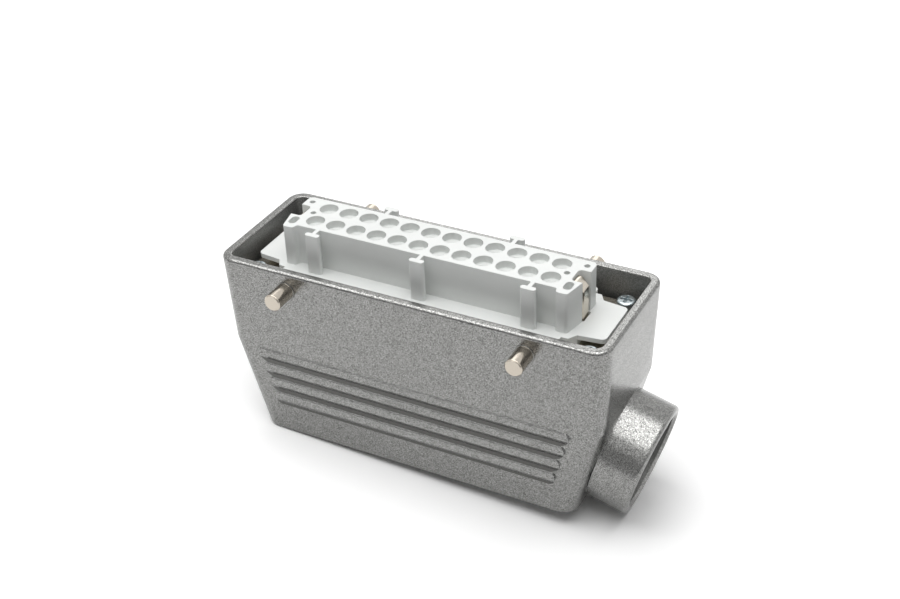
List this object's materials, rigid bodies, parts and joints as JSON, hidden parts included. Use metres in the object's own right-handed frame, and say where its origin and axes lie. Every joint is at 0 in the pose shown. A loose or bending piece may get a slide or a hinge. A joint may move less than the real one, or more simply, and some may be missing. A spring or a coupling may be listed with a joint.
{
  "type": "rectangular connector hood with socket insert",
  "caption": "Cast rectangular hood with side cable entry, locking pegs and grip ribs, holding a plastic insert with two rows of sockets and earth blades for a multi-way power connection.",
  "frame": {"origin": "centre of the rim face, where the hood meets the mating housing", "axes": "+Z out of the mouth, towards the mating part; +X along the hood towards the cable entry; -Y the long face with three key ribs behind it"},
  "size_m": [0.1311, 0.0574, 0.0715],
  "materials": {
    "hood_paint": "hammertone grey over die-cast aluminium",
    "peg_nickel": "nickel-plated steel, turned",
    "insert_plastic": "light grey moulding, satin",
    "contact_metal": "silver-plated copper alloy",
    "bracket_nickel": "nickel-plated sheet",
    "screw_steel": "plated steel",
    "screw_zinc": "blue zinc-plated steel"
  },
  "bodies": {
    "root": {"hood": "hood_paint", "locking_peg_front_left": "peg_nickel", "locking_peg_front_right": "peg_nickel", "locking_peg_back_left": "peg_nickel", "locking_peg_back_right": "peg_nickel", "insert_body": "insert_plastic", "contact_01": "contact_metal", "contact_02": "contact_metal", "contact_03": "contact_metal", "contact_04": "contact_metal", "contact_05": "contact_metal", "contact_06": "contact_metal", "contact_07": "contact_metal", "contact_08": "contact_metal", "contact_09": "contact_metal", "contact_10": "contact_metal", "contact_11": "contact_metal", "contact_12": "contact_metal", "contact_13": "contact_metal", "contact_14": "contact_metal", "contact_15": "contact_metal", "contact_16": "contact_metal", "contact_17": "contact_metal", "contact_18": "contact_metal", "contact_19": "contact_metal", "contact_20": "contact_metal", "contact_21": "contact_metal", "contact_22": "contact_metal", "contact_23": "contact_metal", "contact_24": "contact_metal", "terminal_screws": "screw_steel", "earth_bracket_left": "bracket_nickel", "earth_bracket_right": "bracket_nickel", "earth_washer_left": "screw_steel", "earth_washer_right": "screw_steel", "earth_screw_left": "screw_steel", "earth_screw_right": "screw_steel", "fixing_screw_1": "screw_zinc", "fixing_screw_2": "screw_zinc", "fixing_screw_3": "screw_zinc", "fixing_screw_4": "screw_zinc"}
  },
  "joints": []
}
